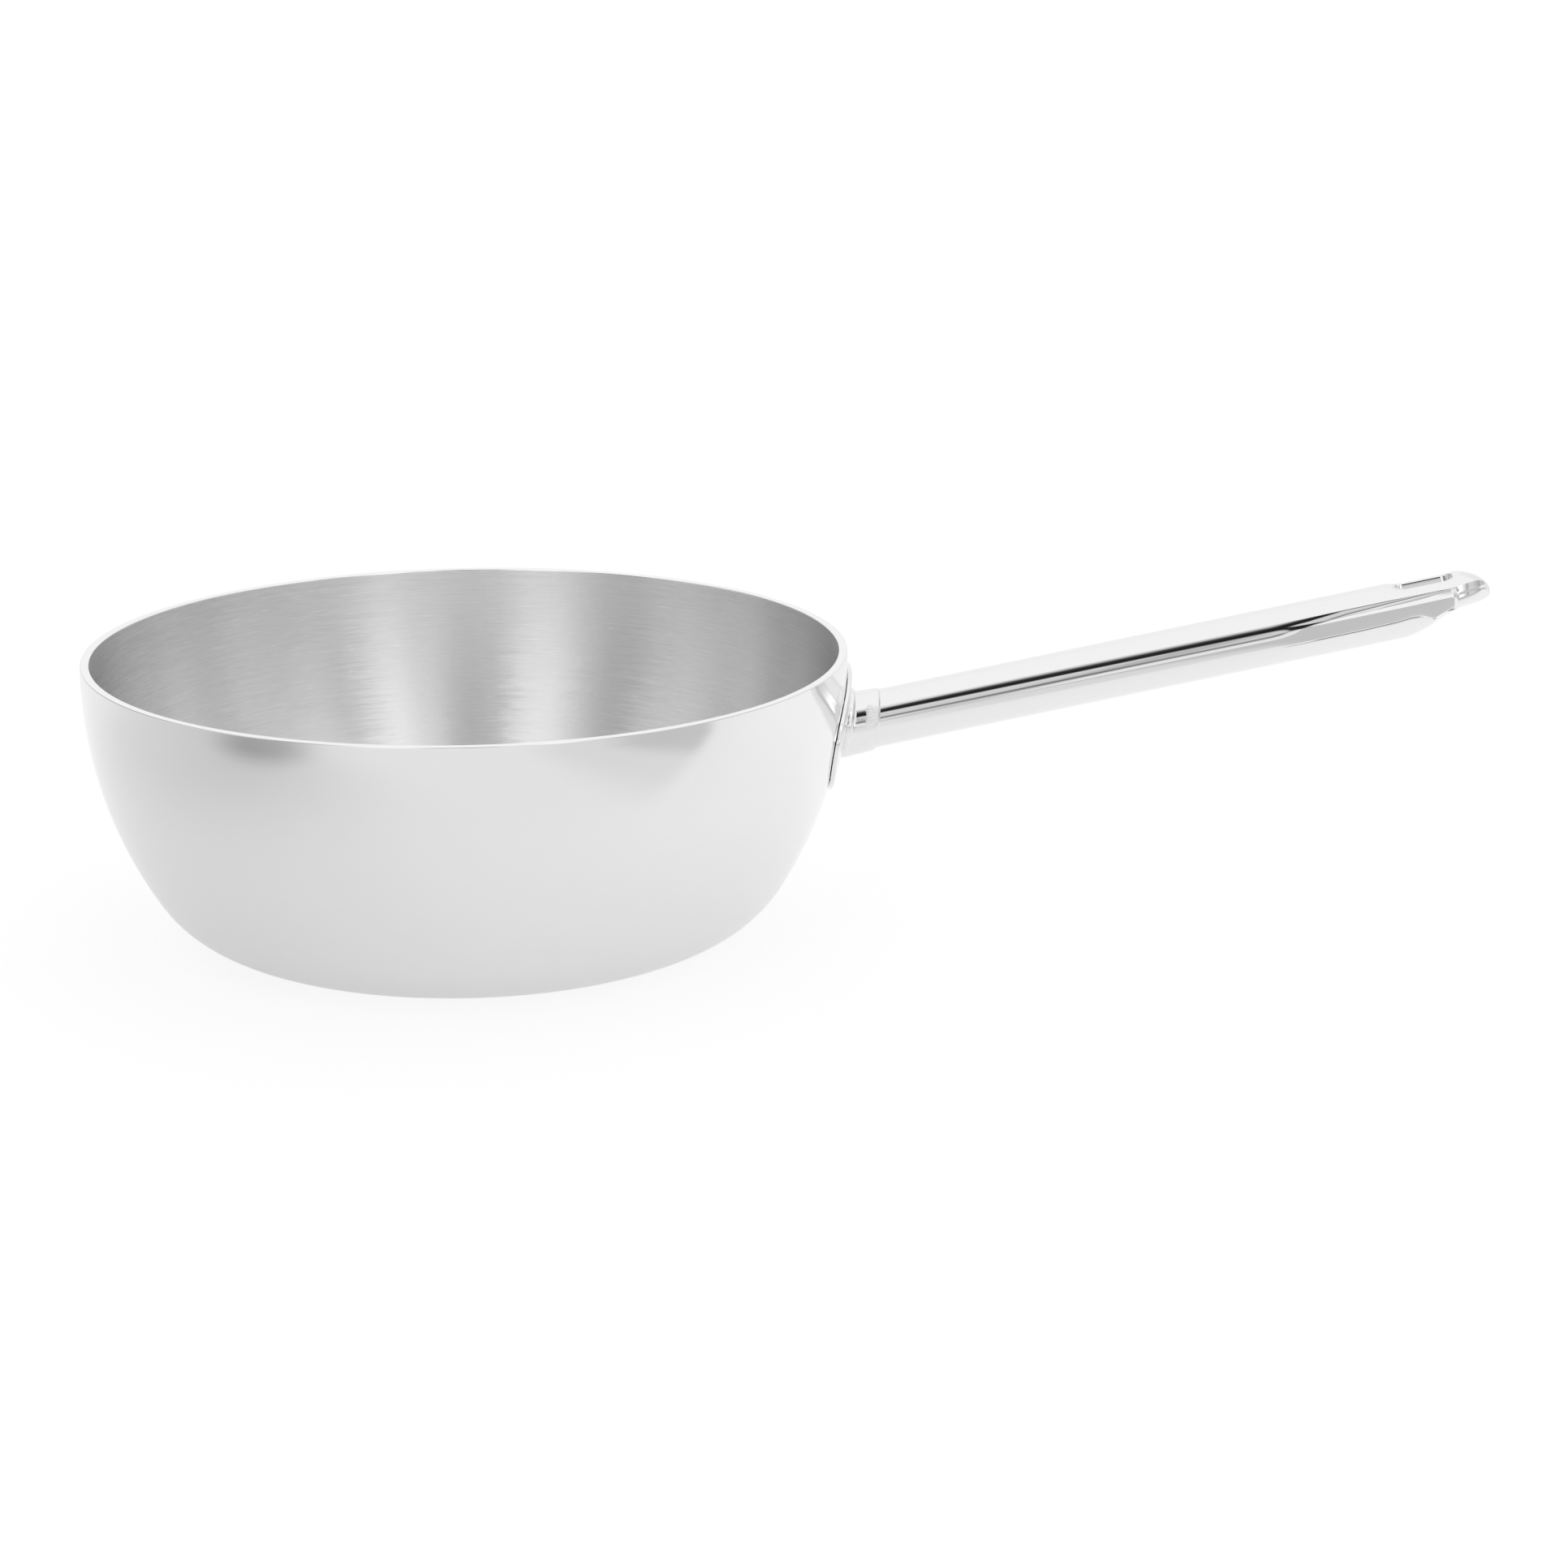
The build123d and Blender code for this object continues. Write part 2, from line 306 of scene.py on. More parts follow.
def slide_off_wall(point_at, low, high, standoff):
    """Halve a stretch of places until its point stands off the wall by a distance."""
    for _ in range(search_halvings):
        middle = (low + high) / 2
        if wall_distance(point_at(middle)) < standoff:
            low = middle
        else:
            high = middle
    return point_at(high)


def on_wall(up, across, standoff):
    """A point that stands off the wall, over a place drawn flat on the wall at the handle's root."""
    flat = root + wall_up * up + wall_across * across
    return slide_off_wall(lambda out: flat + wall_out * out, -search_reach, search_reach, standoff)


print("wall leans by", round(degrees(wall_lean), 2), "degrees at the handle's root")

# %% [markdown]
# An oval plate is spot-welded to the wall and carries the handle. It is bent to the wall's curve and stands
# off it by a hair, which shows in the photo as a crisp dark line. The oval is four arcs, and a smaller oval
# beside its edge has the same centres. That makes the plate a skin of ovals: over the back, round the edge
# and over the front, where they shrink towards the middle.

# %% The wall plate
plate_half_width = 31.0 * mm
plate_half_height = 20.5 * mm
plate_end_radius = 13.0 * mm
plate_thickness = 1.3 * mm
plate_standoff = 0.2 * mm
plate_edge_round = 0.5 * mm
plate_front = plate_standoff + plate_thickness
plate_turns = full_turn(120)

end_centre = plate_half_width - plate_end_radius
taller = plate_half_height - plate_end_radius
wide_radius = (end_centre**2 + plate_half_height**2 - plate_end_radius**2) / (2 * taller)
wide_centre = wide_radius - plate_half_height


def oval_point(direction, inset):
    """A point of the oval, up and across, where a direction leaves the centre of the arc that it is on."""
    up, across = cos(direction), sin(direction)
    arc_turn = atan2(wide_centre, end_centre)
    if abs(across) > cos(arc_turn):
        radius = plate_end_radius - inset
        side = 1 if across > 0 else -1
        return radius * up, side * end_centre + radius * across
    radius = wide_radius - inset
    side = 1 if up > 0 else -1
    return radius * up - side * wide_centre, radius * across


def plate_ring(inset, standoff, share=1):
    """One oval of the plate, shrunk towards its middle to a share, at a distance off the wall."""
    places = [oval_point(turn, inset) for turn in plate_turns]
    return [on_wall(up * share, across * share, standoff) for up, across in places]


plate_face_inset = plate_edge_round + edge_support
plate_back_shares = [0, 0.35, 0.7, 1]
plate_front_shares = [1, 0.85, 0.7, 0.52, 0.35, 0.17, 0]
plate_rings = [plate_ring(plate_face_inset, plate_standoff, share) for share in plate_back_shares]
plate_rings += [plate_ring(0, plate_standoff), plate_ring(0, plate_standoff + edge_support)]
plate_rings += [
    plate_ring(inset, plate_front - drop) for inset, drop in quarter_round(plate_edge_round)
]
plate_rings += [plate_ring(plate_face_inset, plate_front, share) for share in plate_front_shares]
wall_plate = skin_rings("mounting_plate", plate_rings)
close_up(smooth_under=radians(40))
report_piece(wall_plate)

# %% [markdown]
# The neck is a short cone with a round flange against the plate. A polished weld fillet runs between flange
# and cone, so the rings go round the flange's edge, over its face, through the hollow fillet and up the cone
# to the seam, which is cut at a slant. Inside, a spigot carries on into the tube.

# %% The neck
flange_radius = 11.6 * mm
flange_thickness = 1.3 * mm
flange_gap = 0.2 * mm
flange_edge_round = 0.5 * mm
flange_edge_steps = 4
flange_middle_up = 1.4 * mm
flange_back_share = 0.9
flange_fillet = 1.3 * mm
neck_root_radius = 10.4 * mm
neck_end_radius = 9.95 * mm
neck_edge_round = 0.15 * mm
neck_length = 11.6 * mm
neck_bore_radius = 5.5 * mm
seam_tilt = radians(15)
seam_slant = tan(seam_tilt)
spigot_radius = 7.7 * mm
spigot_length = 14.0 * mm
tube_radius = 9.3 * mm
neck_turns = full_turn(128)
flange_back = plate_front + flange_gap
flange_front = flange_back + flange_thickness
bore_bottom = 2 * flange_front


def flange_ring(radius, standoff):
    """A circle of the flange, drawn on the wall and lifted off it."""
    places = [(flange_middle_up + radius * cos(turn), radius * sin(turn)) for turn in neck_turns]
    return [on_wall(up, across, standoff) for up, across in places]


def cone_point(turn, along):
    radius = between(neck_root_radius, neck_end_radius, along / neck_length)
    return beside_handle(along, radius * cos(turn), radius * sin(turn))


def cone_off_wall(standoff):
    """A ring of the cone's points that stand off the wall by a distance."""
    return [
        slide_off_wall(lambda along: cone_point(turn, along), -neck_length, neck_length, standoff)
        for turn in neck_turns
    ]


def tube_ring(radius, along, slant=0.0):
    """A circle round the handle's centre line, upright to it or on a slant."""
    offsets = [(radius * cos(turn), radius * sin(turn)) for turn in neck_turns]
    return [beside_handle(along + slant * up, up, across) for up, across in offsets]


def seam_ring(radius, beyond=0.0):
    """A circle on the seam's slanted plane, or beyond it along the handle."""
    return tube_ring(radius, neck_length + beyond, seam_slant)


def fillet_rings(count):
    """The hollow between the flange's face and the cone, as curves that bend towards their inner corner."""
    starts = flange_ring(flange_radius - flange_edge_round - edge_support, flange_front)
    inner_corners = cone_off_wall(flange_front)
    ends = cone_off_wall(flange_front + flange_fillet)
    rings = []
    for share in steps(0, 1, count):
        rest = 1 - share
        rings.append([
            start * rest**2 + corner * 2 * share * rest + end * share**2
            for start, corner, end in zip(starts, inner_corners, ends)
        ])
    return rings


def cone_rings(count):
    """Rings up the cone, from the end of the fillet to just short of the seam."""
    starts = [(point - root).dot(along_out) for point in cone_off_wall(flange_front + flange_fillet)]
    ends = [neck_length - neck_edge_round + seam_slant * neck_end_radius * cos(turn) for turn in neck_turns]
    return [
        [cone_point(turn, between(start, end, share)) for turn, start, end in zip(neck_turns, starts, ends)]
        for share in steps(0, 1, count)[1:]
    ]


spigot_end = neck_length + spigot_length
neck_rings = [flange_ring(0, flange_back), flange_ring(flange_radius * flange_back_share, flange_back)]
neck_rings += [flange_ring(flange_radius, flange_back + lift) for lift in (0, edge_support)]
neck_rings += [
    flange_ring(flange_radius - inset, flange_front - drop)
    for inset, drop in quarter_round(flange_edge_round, flange_edge_steps)
]
neck_rings += fillet_rings(count=8)
neck_rings += cone_rings(count=10)
neck_rings += [seam_ring(neck_end_radius - neck_edge_round), seam_ring(spigot_radius)]
neck_rings += [tube_ring(spigot_radius, spigot_end), tube_ring(neck_bore_radius, spigot_end)]
neck_rings += [tube_ring(neck_bore_radius, bore_bottom), tube_ring(0, bore_bottom)]
neck = skin_rings("handle_neck", neck_rings)
close_up(smooth_under=radians(40))
report_piece(neck)

# %% [markdown]
# The seam between neck and tube is welded, ground and polished. It stays visible as a fine bright line,
# because the tube is a little slimmer than the neck. The weld is a ring with a soft shoulder, closed through
# its bore.

# %% The seam weld
seam_weld_width = 0.8 * mm
weld_shoulder_shares = [(0, 1), (0.12, 0.97), (0.35, 0.78), (0.62, 0.4), (0.85, 0.12), (1, 0)]
weld_top = neck_end_radius - neck_edge_round - tube_radius

weld_rings = [
    seam_ring(tube_radius + weld_top * height_share, seam_weld_width * width_share)
    for width_share, height_share in weld_shoulder_shares
]
weld_rings += [seam_ring(spigot_radius, seam_weld_width), seam_ring(spigot_radius)]
weld_rings += [weld_rings[0]]
seam_weld = skin_rings("seam_weld", weld_rings)
close_up(smooth_under=radians(50))
report_piece(seam_weld)

# %% [markdown]
# The handle is a straight round tube whose free end was pressed in a die. The press leaves four lines on
# each side: a crease under the crown, a shallow valley, a ridge that faces up and catches the light, and a
# lower crease with a fine groove over the belly. The underside is scooped up, and the nose closes like the
# bow of a boat. So the corners of a section move along the handle, from a round section to a pressed one and
# on to the nose, and every ring runs through them. The faces beside each corner are narrow, which keeps it
# crisp and lets it shine like the small radius that it is.

# %% The handle's sizes
handle_length = 217.0 * mm
tube_wall = 1.5 * mm
press_length = 75.0 * mm
press_run = 30.0 * mm
side_press_end = 58.0 * mm
crease = radians(53)
round_turns = [crease] + [radians(turn) for turn in (63, 72, 101, 102.2, 103.4)]
nose_length = 14.5 * mm
tip_drop = 0.4 * mm
tip_flat = 0.3 * mm
scoop_start = 32.0 * mm
scoop_length = 23.5 * mm
scoop_rise = 6.6 * mm
scooped_height = scoop_rise - tube_radius
crease_half_width = tube_radius * sin(crease)
belly_run = scoop_start - scoop_length
panel_end = 14.2 * mm
cap_start = 11.6 * mm
panel_groove = 0.3 * mm


def eased(value, start, end):
    """A smooth share from 0 at start to 1 at end."""
    share = min(max((value - start) / (end - start), 0), 1)
    return share**2 * (3 - 2 * share)


def arc_drop(distance, run, fall):
    """Fall of an arc that starts level and drops by fall over run, at a distance from its start."""
    radius = (run**2 + fall**2) / (2 * fall)
    return radius - sqrt(max(radius**2 - distance**2, 0))


def blunt_drop(distance, run, fall):
    """The same for a quarter of an ellipse, which ends upright."""
    return fall * (1 - sqrt(max(1 - (distance / run) ** 2, 0)))


def crown_height(from_tip):
    if from_tip >= nose_length:
        return tube_radius
    return tube_radius - blunt_drop(nose_length - from_tip, nose_length, tube_radius + tip_drop)


def half_width(from_tip):
    if from_tip >= nose_length:
        return crease_half_width
    return crease_half_width - arc_drop(nose_length - from_tip, nose_length, crease_half_width)


def belly_height(from_tip):
    """Height of the belly's middle: straight, then an S of two arcs, then round up to the tip."""
    scooped = scoop_start - from_tip
    half_run, half_rise = scoop_length / 2, scoop_rise / 2
    if scooped <= 0:
        return -tube_radius
    if scooped <= half_run:
        return -tube_radius + arc_drop(scooped, half_run, half_rise)
    if scooped <= scoop_length:
        return scooped_height - arc_drop(scoop_length - scooped, half_run, half_rise)
    return scooped_height + blunt_drop(belly_run - from_tip, belly_run, -tip_drop - scooped_height)


print("half width of the crown:", round(crease_half_width / mm, 2), "mm")

# %% [markdown]
# The round tube gives the corners of the round section. On the pressed stretch, the valley, the ridge and the
# lower crease wander a little, as the photo shows. Points on them were picked in the photo and carried
# through its camera to the handle, for an assumed distance across. A short table holds each line, rounded, in
# millimetres: the distance from the tip, then across and up. Taking the mean of a few neighbours rounds the
# bends of these lines. On the nose, the corners are shares of its width and height.

# %% The corners of a section
valley_line = [
    (62, 8.3, 3.75), (57, 8.2, 3.7), (49, 8.0, 3.65), (42, 7.9, 3.75), (36, 7.8, 3.85), (29, 7.7, 3.95),
    (23, 7.6, 4.2), (19, 7.55, 4.75), (16, 7.5, 5.15), (12, 7.5, 5.2),
]
ridge_line = [(62, 8.85, 2.85), (30, 8.85, 2.85), (22, 9.0, 2.9), (16, 9.25, 2.9), (12, 9.25, 2.9)]
lower_line = [
    (62, 8.85, -1.8), (45, 8.5, -1.85), (33.5, 8.45, -1.5), (29, 8.45, -1.05), (25.4, 8.5, -1.15),
    (23.9, 8.5, -1.6), (21.2, 8.5, -3.1), (18.7, 8.7, -1.95), (15.9, 8.8, -0.95), (13, 8.7, -0.8),
    (10, 8.5, -0.7),
]
neighbours = [shift * mm for shift in (-0.8, -0.4, 0, 0.4, 0.8)]
groove_floor = Vector((-0.14, -0.07)) * mm
groove_foot = Vector((0.14, -0.3)) * mm
cap_corner_shares = [(1.02, 0.9), (1.05, 0.66), (0.8, 0.18), (0.78, 0.165), (0.76, 0.15)]
pressed_bulges = [0.07 * mm, -0.04 * mm, 0.05 * mm, 0.0, 0.0]
cap_bulge_shares = [0.0, 0.01, 0.12, 0.0, 0.0]
straight_under = 0.0005 * mm
keel_power = 2.5


def crown_at(from_tip, across):
    """Height of the crown over the centre line, at a distance across."""
    return crown_height(from_tip) - tube_radius + sqrt(tube_radius**2 - across**2)


def read_off(line, from_tip):
    """Across and up on a line of the table."""
    place = from_tip / mm
    if place >= line[0][0]:
        return Vector(line[0][1:]) * mm
    for (start, *first), (end, *second) in zip(line, line[1:]):
        if place >= end:
            return Vector(first).lerp(Vector(second), (start - place) / (start - end)) * mm
    return Vector(line[-1][1:]) * mm


def pressed_corners(from_tip):
    """Valley, ridge, lower crease and groove where the die has pressed the tube, as across and up."""
    found = []
    for line in (valley_line, ridge_line, lower_line):
        near = [read_off(line, from_tip + shift) for shift in neighbours]
        found.append(sum(near, Vector((0, 0))) / len(near))
    for step_down in (groove_floor, groove_foot):
        found.append(found[-1] + step_down)
    return found


def cap_corners(from_tip):
    """The same corners on the rounded nose."""
    edge = half_width(from_tip)
    bottom = belly_height(from_tip)
    height = crown_at(from_tip, edge) - bottom
    return [Vector((across * edge, bottom + up * height)) for across, up in cap_corner_shares]


def die_shares(from_tip):
    """How far the side is pressed at a distance from the tip, and how far it has become the nose."""
    return eased(from_tip, press_length, side_press_end), eased(from_tip, panel_end, cap_start)


def corners(from_tip):
    """Crease, valley, ridge, lower crease and its groove in the section at a distance from the tip."""
    pressed, capped = die_shares(from_tip)
    groove = panel_groove * 4 * capped * (1 - capped)
    edge = half_width(from_tip)
    found = [Vector((edge, crown_at(from_tip, edge)))]
    free_corners = [Vector((tube_radius * sin(turn), tube_radius * cos(turn))) for turn in round_turns[1:]]
    for free, flat, end in zip(free_corners, pressed_corners(from_tip), cap_corners(from_tip)):
        corner = free.lerp(flat, pressed).lerp(end, capped)
        corner.x -= groove
        found.append(corner)
    return found


def bulges(from_tip):
    """How far each side arc stands out from its chord."""
    pressed, capped = die_shares(from_tip)
    edge = half_width(from_tip)
    free = [tube_radius * (1 - cos((end - start) / 2)) for start, end in zip(round_turns, round_turns[1:])]
    return [
        between(between(round_bulge, flat_bulge, pressed), share * edge, capped)
        for round_bulge, flat_bulge, share in zip(free, pressed_bulges, cap_bulge_shares)
    ]


def arc_point(start, end, bulge, share):
    """A point on the arc over a chord, by its share of the way along."""
    chord = end - start
    length = chord.length
    outwards = Vector((-chord.y, chord.x)) / length
    if abs(bulge) < straight_under:
        return start.lerp(end, share)
    radius = (length**2 / 4 + bulge**2) / (2 * bulge)
    half_turn = asin(min(length / (2 * abs(radius)), 1))
    turn = half_turn * (2 * share - 1)
    along = 0.5 * length + abs(radius) * sin(turn)
    rise = radius * (cos(turn) - cos(half_turn))
    return start + chord * (along / length) + outwards * rise


def belly_at(from_tip, across):
    """Height of the belly, at a distance across: round on the tube, and keel-like where it was pressed."""
    edge = corners(from_tip)[-1]
    share = min(abs(across) / edge.x, 1)
    rounded = tube_radius - sqrt(tube_radius**2 - across**2)
    rounded /= tube_radius - sqrt(tube_radius**2 - edge.x**2)
    pressed = eased(from_tip, press_length, press_length - press_run)
    form = between(rounded, share**keel_power, pressed)
    bottom = belly_height(from_tip)
    return bottom + (edge.y - bottom) * form


def handle_point(from_tip, across, up):
    return beside_handle(handle_length - from_tip, up, across)


# %% Points round a section
corner_face_share = 0.05
crown_face_share = 0.015
crown_segments = 34
side_segments = (7, 6, 14, 2, 2)


def clustered(count, narrow=corner_face_share):
    """Shares from 0 to 1 with a narrow first and last step, or just the ends and the middle."""
    if count == 2:
        return [0, 0.5, 1]
    return [0] + steps(narrow, 1 - narrow, count - 2) + [1]


crown_shares = clustered(crown_segments, crown_face_share)[:-1]


def crown_across(from_tip, share):
    """Distance across the crown for a share from -1 to 1, spaced evenly round the arc."""
    spread = asin(half_width(from_tip) / tube_radius)
    return tube_radius * sin(spread * share)


def belly_across(from_tip, share):
    """The same for the belly."""
    edge = corners(from_tip)[-1].x
    spread = asin(min(edge / tube_radius, 1))
    return edge * sin(spread * share) / sin(spread)


def side_points(from_tip):
    """One side from the crease down to the belly, as across and up."""
    found = corners(from_tip)
    points = [found[0]]
    for start, end, bulge, count in zip(found, found[1:], bulges(from_tip), side_segments):
        points += [arc_point(start, end, bulge, share) for share in clustered(count)[1:]]
    return points


def section_ring(from_tip):
    """Crown, far side, belly and near side as one ring of points."""
    side = side_points(from_tip)
    crown = [crown_across(from_tip, 2 * share - 1) for share in crown_shares]
    belly = [belly_across(from_tip, 1 - 2 * share) for share in crown_shares]
    ring = [handle_point(from_tip, across, crown_at(from_tip, across)) for across in crown]
    ring += [handle_point(from_tip, across, up) for across, up in side[:-1]]
    ring += [handle_point(from_tip, across, belly_at(from_tip, across)) for across in belly]
    ring += [handle_point(from_tip, -across, up) for across, up in side[::-1][:-1]]
    return ring


def seam_end_ring():
    """The tube's first ring, cut at the slant of the seam."""
    straight = section_ring(handle_length - neck_length)
    heights = [(point - root).dot(along_up) for point in straight]
    return [point + along_out * (seam_weld_width + up * seam_slant) for point, up in zip(straight, heights)]


print("points in a ring of the tube:", len(section_ring(press_length)))

# %% [markdown]
# The hanging slot is the hard part: its hole would tear a mirror surface if it were cut out, because the
# faces left round it no longer follow the curve. So the zone round the slot is built for it. Points on the
# zone's outline are joined to the nearest points of the slot's rim, and the rings between them lie on the
# crown or on the belly. Each lip of the slot is a short list, in millimetres: how far every ring is from the
# slot's middle line, and how deep it lies.

# %% Rings round the slot
crown_lip_line = [
    (6.1, 0), (5.7, 0.14), (5.2, 0.3), (4.7, 0.5), (4.3, 0.68), (4.0, 0.85), (3.8, 1.02), (3.65, 1.22),
    (3.52, 1.48), (3.42, 1.76), (3.3, 2.08), (3.15, 2.5), (3.0, 2.92), (2.9, 3.3), (2.82, 3.8), (2.8, 4.3),
]
belly_lip_line = [(3.4, 0), (3.2, 0.06), (3.02, 0.2), (2.9, 0.42), (2.82, 0.75), (2.8, 1.2)]
crown_rim_radius = crown_lip_line[0][0] * mm
belly_rim_radius = belly_lip_line[0][0] * mm
slot_from_tip = 21.4 * mm
slot_half_run = 6.2 * mm
zone_start = 37.0 * mm
zone_middle = 15.0 * mm
zone_end = 7.2 * mm
zone_steps = 32
zone_stations = steps(zone_start, zone_middle, zone_steps) + steps(zone_middle, zone_end, zone_steps)[1:]


def zone_outline():
    """Points round the slot's zone, as distances from the tip and shares of the half width."""
    outline = [(zone_start, 2 * share - 1) for share in crown_shares]
    outline += [(station, 1) for station in zone_stations[:-1]]
    outline += [(zone_end, 1 - 2 * share) for share in crown_shares]
    outline += [(station, -1) for station in zone_stations[::-1][:-1]]
    return outline


def slot_direction(from_tip, across):
    """Nearest point on the slot's middle line, and the direction away from it."""
    along = from_tip - slot_from_tip
    middle = min(max(along, -slot_half_run), slot_half_run)
    reach = sqrt((along - middle) ** 2 + across**2)
    return slot_from_tip + middle, (along - middle) / reach, across / reach


def slot_rays(across_at):
    """Every point of the outline, with its nearest point of the slot and its direction."""
    places = [(from_tip, across_at(from_tip, share)) for from_tip, share in zone_outline()]
    return [(from_tip, across) + slot_direction(from_tip, across) for from_tip, across in places]


def zone_ring(rays, share, height_at, rim_radius):
    """A ring between the zone's outline at share 0 and the slot's rim at share 1."""
    ring = []
    for from_tip, across, middle, turn_along, turn_across in rays:
        place = between(from_tip, middle + rim_radius * turn_along, share)
        aside = between(across, rim_radius * turn_across, share)
        ring.append(handle_point(place, aside, height_at(place, aside)))
    return ring


def lip_ring(rays, height_at, radius, sink):
    """A ring of a lip, at a distance from the slot's middle line, lifted off the tube's surface by sink."""
    ring = []
    for _, _, middle, turn_along, turn_across in rays:
        place = middle + radius * turn_along
        aside = radius * turn_across
        ring.append(handle_point(place, aside, height_at(place, aside) + sink))
    return ring


crown_rays = slot_rays(crown_across)
belly_rays = slot_rays(belly_across)
print("points round the slot:", len(crown_rays))

# %% The handle tube
press_steps, nose_steps = 50, 26
plain_stations = [handle_length - reach for reach in (neck_length + 12 * mm, 60 * mm, 100 * mm)]
grip_stations = plain_stations + steps(press_length, zone_start, press_steps)
nose_stations = [between(zone_end, tip_flat, sin(turn)) for turn in steps(0, pi / 2, nose_steps)]
zone_shares = [0, 0.05, 0.15, 0.3, 0.45, 0.6, 0.75, 0.88, 1]


def side_strip(name, side):
    """One side of the slot's zone, as an open strip that is extruded from station to station."""
    rows = []
    for station in zone_stations:
        rows.append([handle_point(station, side * across, up) for across, up in side_points(station)])
    return skin_rings(name, rows, closed=False)


grip = skin_rings("handle_grip", [seam_end_ring()] + [section_ring(station) for station in grip_stations])
nose_rings = [section_ring(station) for station in nose_stations]
tip_middle = sum(nose_rings[-1], Vector()) / len(nose_rings[-1])
nose = skin_rings("handle_nose", nose_rings + [[tip_middle] * len(nose_rings[-1])])
crown_rings = [zone_ring(crown_rays, share, crown_at, crown_rim_radius) for share in zone_shares]
belly_rings = [zone_ring(belly_rays, share, belly_at, belly_rim_radius) for share in zone_shares]
crown_zone = skin_rings("handle_crown", crown_rings)
belly_zone = skin_rings("handle_belly", belly_rings)
strips = [side_strip("handle_far_side", 1), side_strip("handle_near_side", -1)]

# %% Join the tube
let_go()
for part in [nose, crown_zone, belly_zone] + strips + [grip]:
    part.select_set(True)
bpy.context.view_layer.objects.active = grip
bpy.ops.object.join()
handle_tube = bpy.context.object
close_up(smooth_under=radians(75))
report_piece(handle_tube)

# %% [markdown]
# The tube is hollow, so the skin gets a wall. It thins out towards the nose, where there is no room for it,
# and a vertex group tells the Solidify modifier how much of the thickness each point gets.

# %% The tube's wall
thin_wall_share = 0.15
full_wall_from = 2 * nose_length
wall_group = handle_tube.vertex_groups.new(name="wall")
for vertex in handle_tube.data.vertices:
    from_tip = handle_length - (vertex.co - root).dot(along_out)
    share = min(max(from_tip / full_wall_from, 0), 1)
    wall_group.add([vertex.index], between(thin_wall_share, 1, share), "REPLACE")
wall = handle_tube.modifiers.new("wall", "SOLIDIFY")
wall.thickness = tube_wall
wall.offset = -1
wall.vertex_group = "wall"
bpy.ops.object.modifier_apply(modifier="wall")
close_up(smooth_under=radians(75))
report_piece(handle_tube)

# %% [markdown]
# The eyelet lines the slot. Its upper lip starts from the rim's own points on the crown, so it meets the tube
# without a gap, and rolls down into a sleeve. The sleeve ends in a smaller lip on the belly.

# %% The eyelet
def lip_rings(rays, height_at, line, inwards):
    return [lip_ring(rays, height_at, radius * mm, inwards * depth * mm) for radius, depth in line]


crown_lip = lip_rings(crown_rays, crown_at, crown_lip_line, -1)
belly_lip = lip_rings(belly_rays, belly_at, belly_lip_line, 1)
sleeve = [
    [start.lerp(end, share) for start, end in zip(crown_lip[-1], belly_lip[-1])]
    for share in steps(0, 1, 4)[1:-1]
]
eyelet_rings = crown_lip + sleeve + belly_lip[::-1]
eyelet = skin_rings("slot_eyelet", eyelet_rings + [eyelet_rings[0]])
close_up(smooth_under=radians(60))
report_piece(eyelet)

# %% [markdown]
# Each new piece stands for a node of the frame and rides on the pan's one body. The core between the skins
# and the small welds behind the plate keep the frame's own meshes.

# %% Pieces and nodes
stands_for = {
    "outer_shell": (bowl_outside, "satin_steel"),
    "inner_liner": (bowl_inside, "brushed_steel"),
    "wall_plate": (wall_plate, "polished_steel"),
    "neck": (neck, "polished_steel"),
    "neck_seam_weld": (seam_weld, "weld_steel"),
    "handle_tube": (handle_tube, "polished_steel"),
    "hang_eyelet": (eyelet, "polished_steel"),
}
for node, (piece, slot) in stands_for.items():
    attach(piece, "root")
    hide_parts(node)
print("pieces:", sorted(piece.name for piece, _ in stands_for.values()))


# %% [markdown]
# Now the finishes. A polished or brushed metal is mostly the picture of its surroundings, so a finish is a
# base colour, a roughness and the pattern that the tools have left. Small helpers keep the node trees
# readable, and the patterns are node groups, because several finishes share them.

# %% Helpers for node trees
def add_node(tree, kind, **settings):
    node = tree.nodes.new(kind)
    for setting, value in settings.items():
        setattr(node, setting, value)
    return node


def feed(tree, socket, value):
    """Link a socket to another node's output, or set it to a plain value."""
    if isinstance(value, bpy.types.NodeSocket):
        tree.links.new(value, socket)
    else:
        socket.default_value = value


def calc(tree, operation, *values, clamp=False):
    node = add_node(tree, "ShaderNodeMath", operation=operation, use_clamp=clamp)
    for socket, value in zip(node.inputs, values):
        feed(tree, socket, value)
    return node.outputs["Value"]


def vector_calc(tree, operation, *values, output="Vector"):
    node = add_node(tree, "ShaderNodeVectorMath", operation=operation)
    sockets = [socket for socket in node.inputs if socket.type == "VECTOR"]
    for socket, value in zip(sockets, values):
        feed(tree, socket, value)
    return node.outputs[output]


def split(tree, vector):
    """The X, Y and Z of a vector."""
    node = add_node(tree, "ShaderNodeSeparateXYZ")
    feed(tree, node.inputs[0], vector)
    return [node.outputs[axis] for axis in "XYZ"]


def joined(tree, x=0.0, y=0.0, z=0.0):
    node = add_node(tree, "ShaderNodeCombineXYZ")
    for socket, value in zip(node.inputs, (x, y, z)):
        feed(tree, socket, value)
    return node.outputs[0]


def ranged(tree, value, low, high, to_low=0.0, to_high=1.0):
    """Ease a value from one range into another, and stop at its ends."""
    node = add_node(tree, "ShaderNodeMapRange", interpolation_type="SMOOTHSTEP")
    entries = {"Value": value, "From Min": low, "From Max": high, "To Min": to_low, "To Max": to_high}
    for name, entry in entries.items():
        feed(tree, node.inputs[name], entry)
    return node.outputs["Result"]


